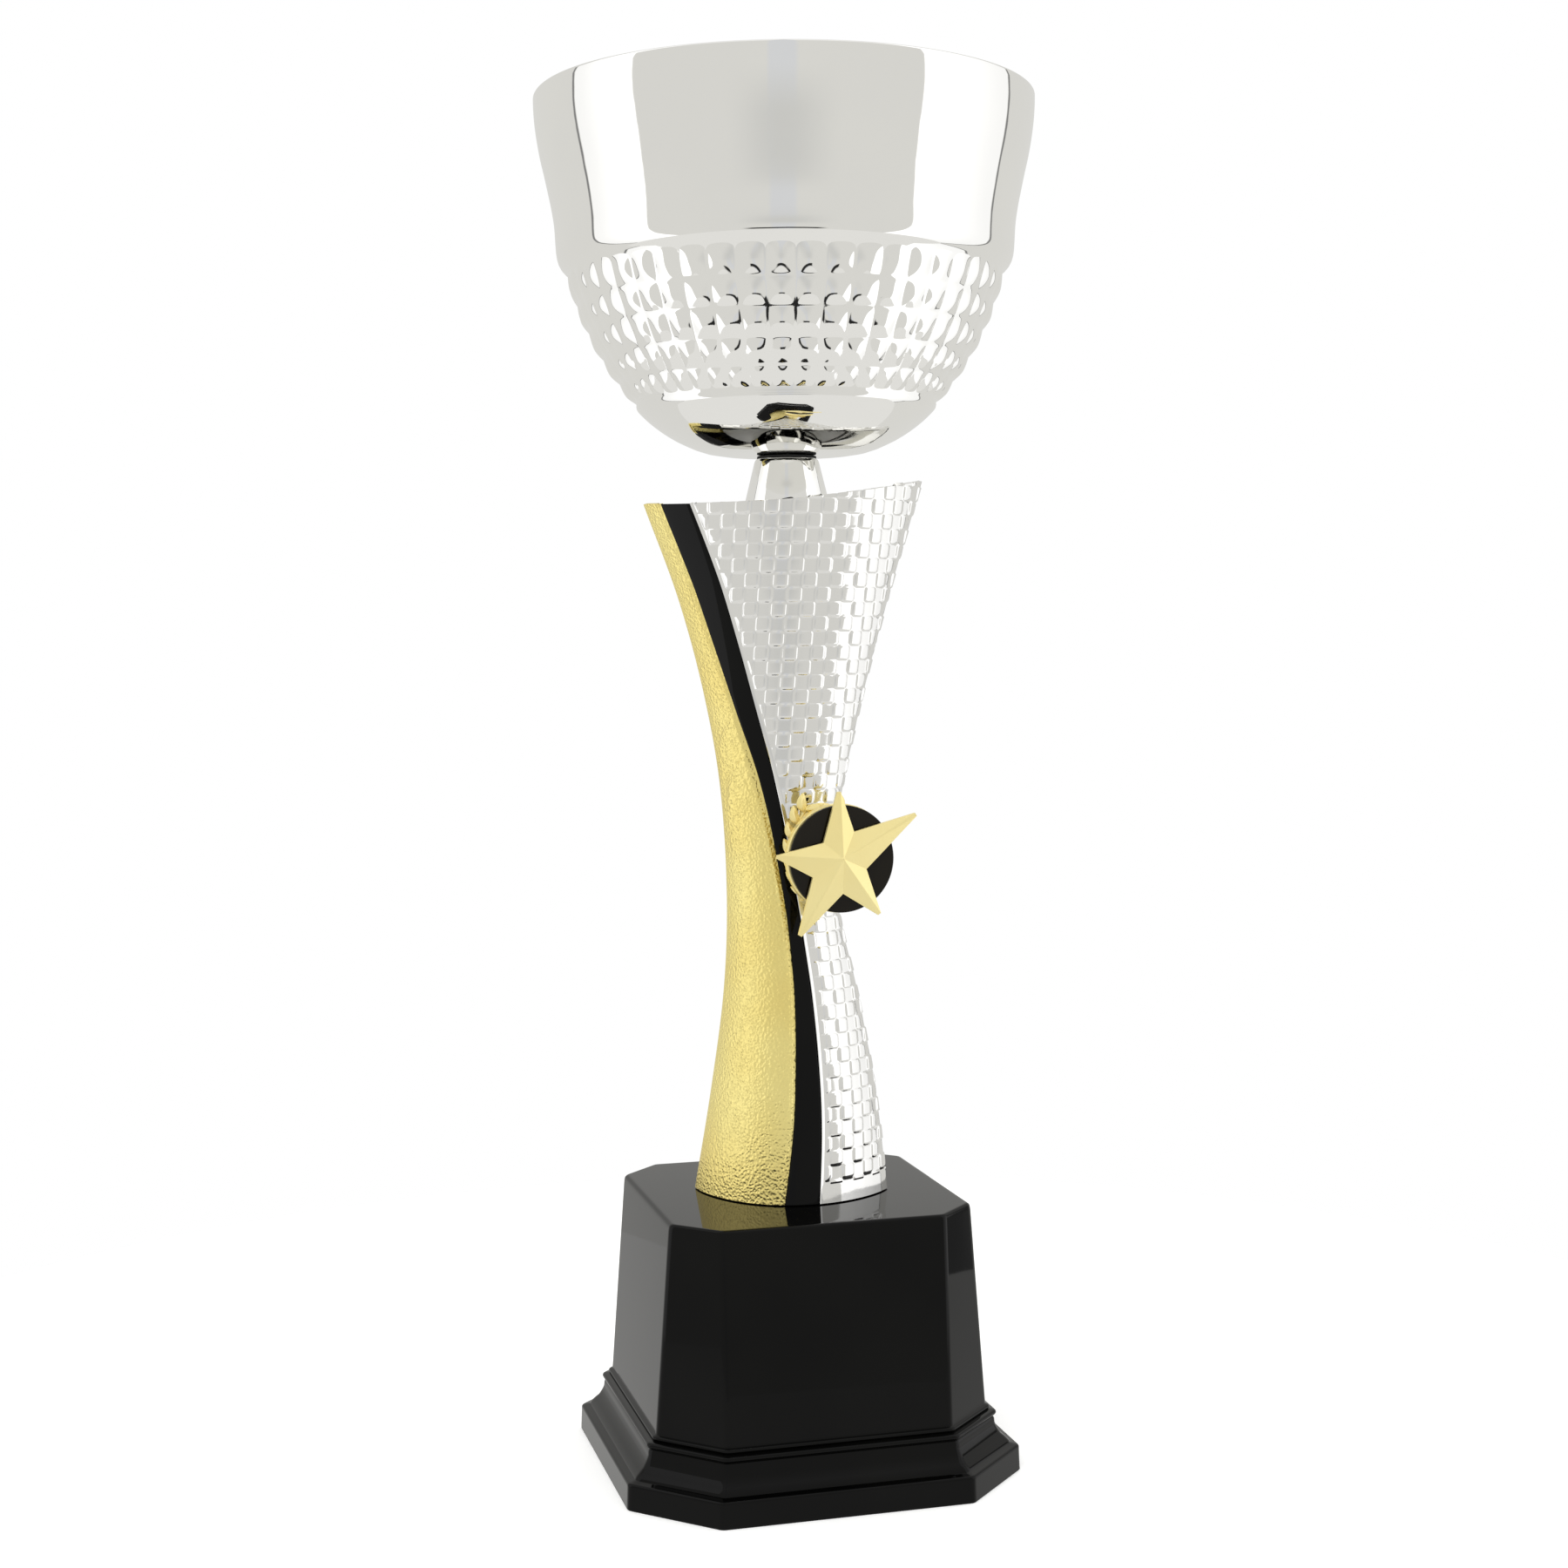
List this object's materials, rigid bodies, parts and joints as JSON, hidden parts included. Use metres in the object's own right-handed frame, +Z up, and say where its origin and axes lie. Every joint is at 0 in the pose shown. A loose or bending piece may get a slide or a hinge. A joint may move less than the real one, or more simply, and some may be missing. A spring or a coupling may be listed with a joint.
{
  "type": "column trophy",
  "caption": "Award trophy: chromed cup with a studded band on a waisted silver and gold column with a star badge, on a tapered gloss black base.",
  "frame": {"origin": "centre of the underside of the base", "axes": "+Z up through the tie rod, -Y to the front of the base, which the disc and star face"},
  "size_m": [0.12, 0.12, 0.33],
  "materials": {
    "base_gloss_black": "high gloss moulded black",
    "ballast": "rough cast ballast",
    "base_felt": "black felt",
    "steel_hardware": "zinc plated steel",
    "inner_plastic": "black moulded plastic",
    "seat_plastic": "pale grey moulded plastic",
    "silver_plating": "bright silver plated plastic with a tile pattern",
    "gold_plating": "satin gold plated plastic with a hammered grain",
    "band_gloss_black": "gloss black",
    "stem_chrome": "bright chrome",
    "gasket_rubber": "black rubber",
    "cup_chrome": "bright chrome on spun steel",
    "badge_gold": "gold plated plastic",
    "adhesive_foam": "white double-sided foam",
    "disc_black": "gloss black",
    "star_gold": "satin gold cast star"
  },
  "bodies": {
    "root": {"base_shell": "base_gloss_black", "base_weight": "ballast", "base_pad": "base_felt", "tie_rod": "steel_hardware", "base_washer": "steel_hardware", "base_spring_washer": "steel_hardware", "base_nut": "steel_hardware", "column_foot_plug": "inner_plastic", "silver_column": "silver_plating", "gold_wing": "gold_plating", "black_band_front": "band_gloss_black", "black_band_back": "band_gloss_black", "column_top_seat": "seat_plastic", "stem_cone": "stem_chrome", "stem_gasket": "gasket_rubber", "cup_bowl": "cup_chrome", "bowl_seal": "gasket_rubber", "bowl_washer": "steel_hardware", "bowl_nut": "steel_hardware", "laurel_wreath": "badge_gold", "disc_holder": "badge_gold", "holder_screw": "steel_hardware", "disc_pad": "adhesive_foam", "black_disc": "disc_black", "star_pad": "adhesive_foam", "star": "star_gold"}
  },
  "joints": []
}
